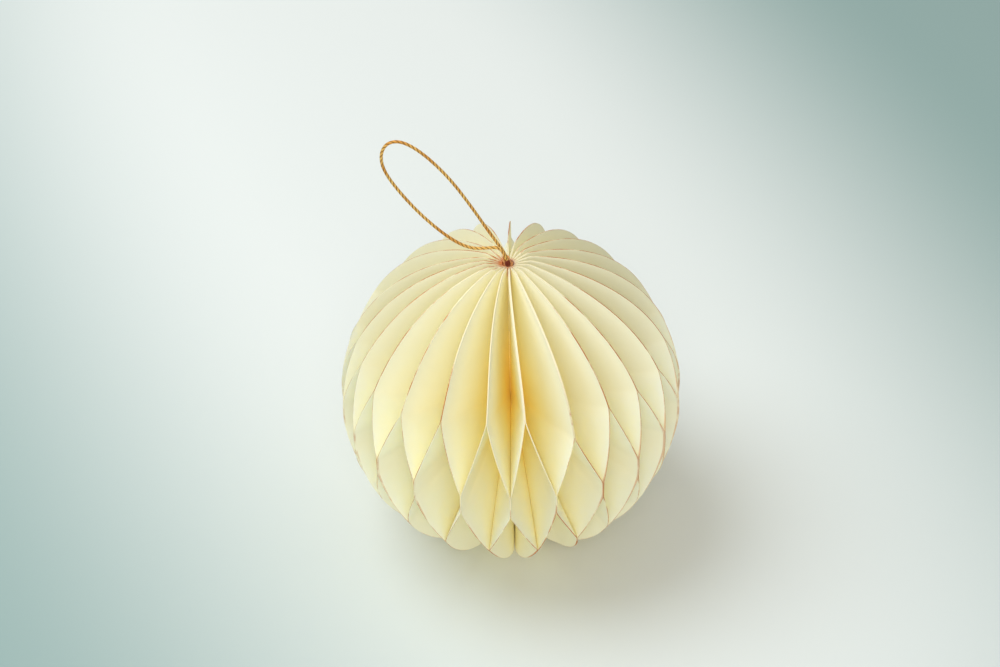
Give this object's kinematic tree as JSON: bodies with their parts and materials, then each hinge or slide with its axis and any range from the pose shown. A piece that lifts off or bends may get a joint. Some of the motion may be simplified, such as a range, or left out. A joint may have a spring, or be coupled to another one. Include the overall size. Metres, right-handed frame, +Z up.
{
  "type": "honeycomb paper bauble",
  "caption": "Round hanging ornament of folded paper discs glued into a honeycomb ball, with a loop of gold cord at the top to hang it by.",
  "frame": {"origin": "on the surface that the ball stands on, under the middle of the ball", "axes": "+Z up along the core that the leaves are folded at, -Y to the front, the loop leans toward -X"},
  "size_m": [0.0906, 0.0904, 0.1273],
  "materials": {
    "paper": "matt uncoated ivory paper with worn gilt cut edges",
    "gold_cord": "twisted metallic gold thread"
  },
  "bodies": {
    "root": {"paper_leaf_01": "paper", "paper_leaf_02": "paper", "paper_leaf_03": "paper", "paper_leaf_04": "paper", "paper_leaf_05": "paper", "paper_leaf_06": "paper", "paper_leaf_07": "paper", "paper_leaf_08": "paper", "paper_leaf_09": "paper", "paper_leaf_10": "paper", "paper_leaf_11": "paper", "paper_leaf_12": "paper", "paper_leaf_13": "paper", "paper_leaf_14": "paper", "paper_leaf_15": "paper", "paper_leaf_16": "paper", "paper_leaf_17": "paper", "paper_leaf_18": "paper", "paper_leaf_19": "paper", "paper_leaf_20": "paper", "paper_leaf_21": "paper", "paper_leaf_22": "paper", "paper_leaf_23": "paper", "hanging_loop": "gold_cord", "cord_knot": "gold_cord"}
  },
  "joints": []
}
